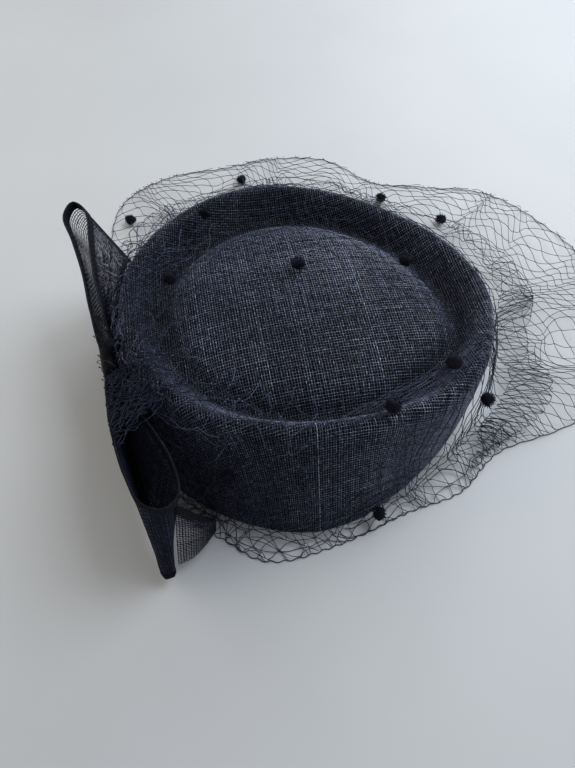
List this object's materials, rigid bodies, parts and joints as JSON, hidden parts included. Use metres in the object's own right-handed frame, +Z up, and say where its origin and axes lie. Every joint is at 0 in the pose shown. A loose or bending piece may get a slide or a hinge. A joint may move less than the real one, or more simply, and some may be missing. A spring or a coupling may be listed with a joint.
{
  "type": "veiled straw hat",
  "caption": "Small stiff woven hat with a grooved teardrop crown, a dotted net veil over it and a ribbon bow at the back.",
  "frame": {"origin": "middle of the whole outline in plan, at the level of the base edge", "axes": "+Z up, +X towards the pointed front of the crown, bow at the -X side"},
  "size_m": [0.3416, 0.3246, 0.0809],
  "materials": {
    "straw": "stiff open plain weave, matt with a faint sheen",
    "net": "fine matt thread net",
    "chenille": "short dense pile",
    "ribbon": "open woven ribbon with folded edges"
  },
  "bodies": {
    "root": {"crown": "straw", "veil": "net", "bow_upper_loop": "ribbon", "bow_lower_loop": "ribbon", "bow_knot": "ribbon", "veil_dot_01": "chenille", "veil_dot_02": "chenille", "veil_dot_03": "chenille", "veil_dot_04": "chenille", "veil_dot_05": "chenille", "veil_dot_06": "chenille", "veil_dot_07": "chenille", "veil_dot_08": "chenille", "veil_dot_09": "chenille", "veil_dot_10": "chenille", "veil_dot_11": "chenille", "veil_dot_12": "chenille", "veil_dot_13": "chenille", "veil_dot_14": "chenille", "veil_dot_15": "chenille", "veil_dot_16": "chenille"}
  },
  "joints": []
}
